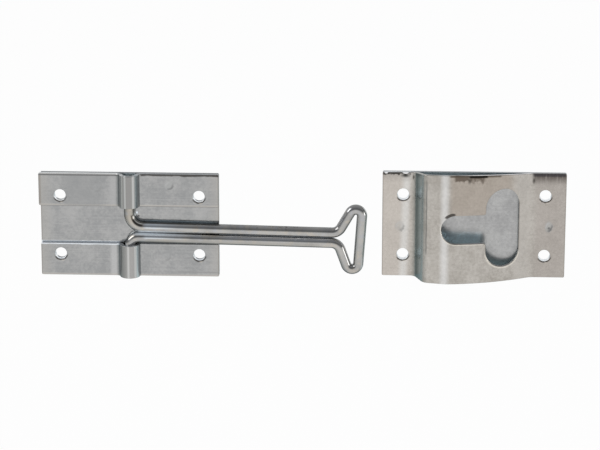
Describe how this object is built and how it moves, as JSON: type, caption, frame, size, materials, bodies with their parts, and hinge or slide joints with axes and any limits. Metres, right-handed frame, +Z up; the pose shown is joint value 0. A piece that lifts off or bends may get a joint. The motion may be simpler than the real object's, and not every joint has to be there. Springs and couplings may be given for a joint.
{
  "type": "door hook and keeper",
  "caption": "Zinc-plated trailer door hook and keeper: a bent wire hook with a T-shaped end hinged on a strapped plate, and a humped plate with a T-shaped slot that catches it.",
  "frame": {"origin": "middle of the hook plate's back face, straight behind the hinge axis", "axes": "+X from the hook plate towards the keeper, along the hook; +Y into the wall; +Z up, along the hinge pins"},
  "size_m": [0.2612, 0.0148, 0.0561],
  "materials": {
    "hook_plate_zinc": "satin zinc plating, faintly cloudy",
    "wire_zinc": "bright zinc plating, glossy",
    "keeper_zinc": "satin zinc plating with a warm tint, cloudy and lightly smudged"
  },
  "bodies": {
    "plates": {"hook_back_plate": "hook_plate_zinc", "upper_strap": "hook_plate_zinc", "lower_strap": "hook_plate_zinc", "keeper_back_plate": "keeper_zinc", "keeper_front": "keeper_zinc"},
    "hook": {"wire_hook": "wire_zinc"}
  },
  "joints": [
    {"name": "hook_swing", "type": "hinge", "parent": "plates", "child": "hook", "pos_m": [0, -0.00495, 0], "axis": [0, 0, -1], "range_deg": [0, 180]}
  ]
}
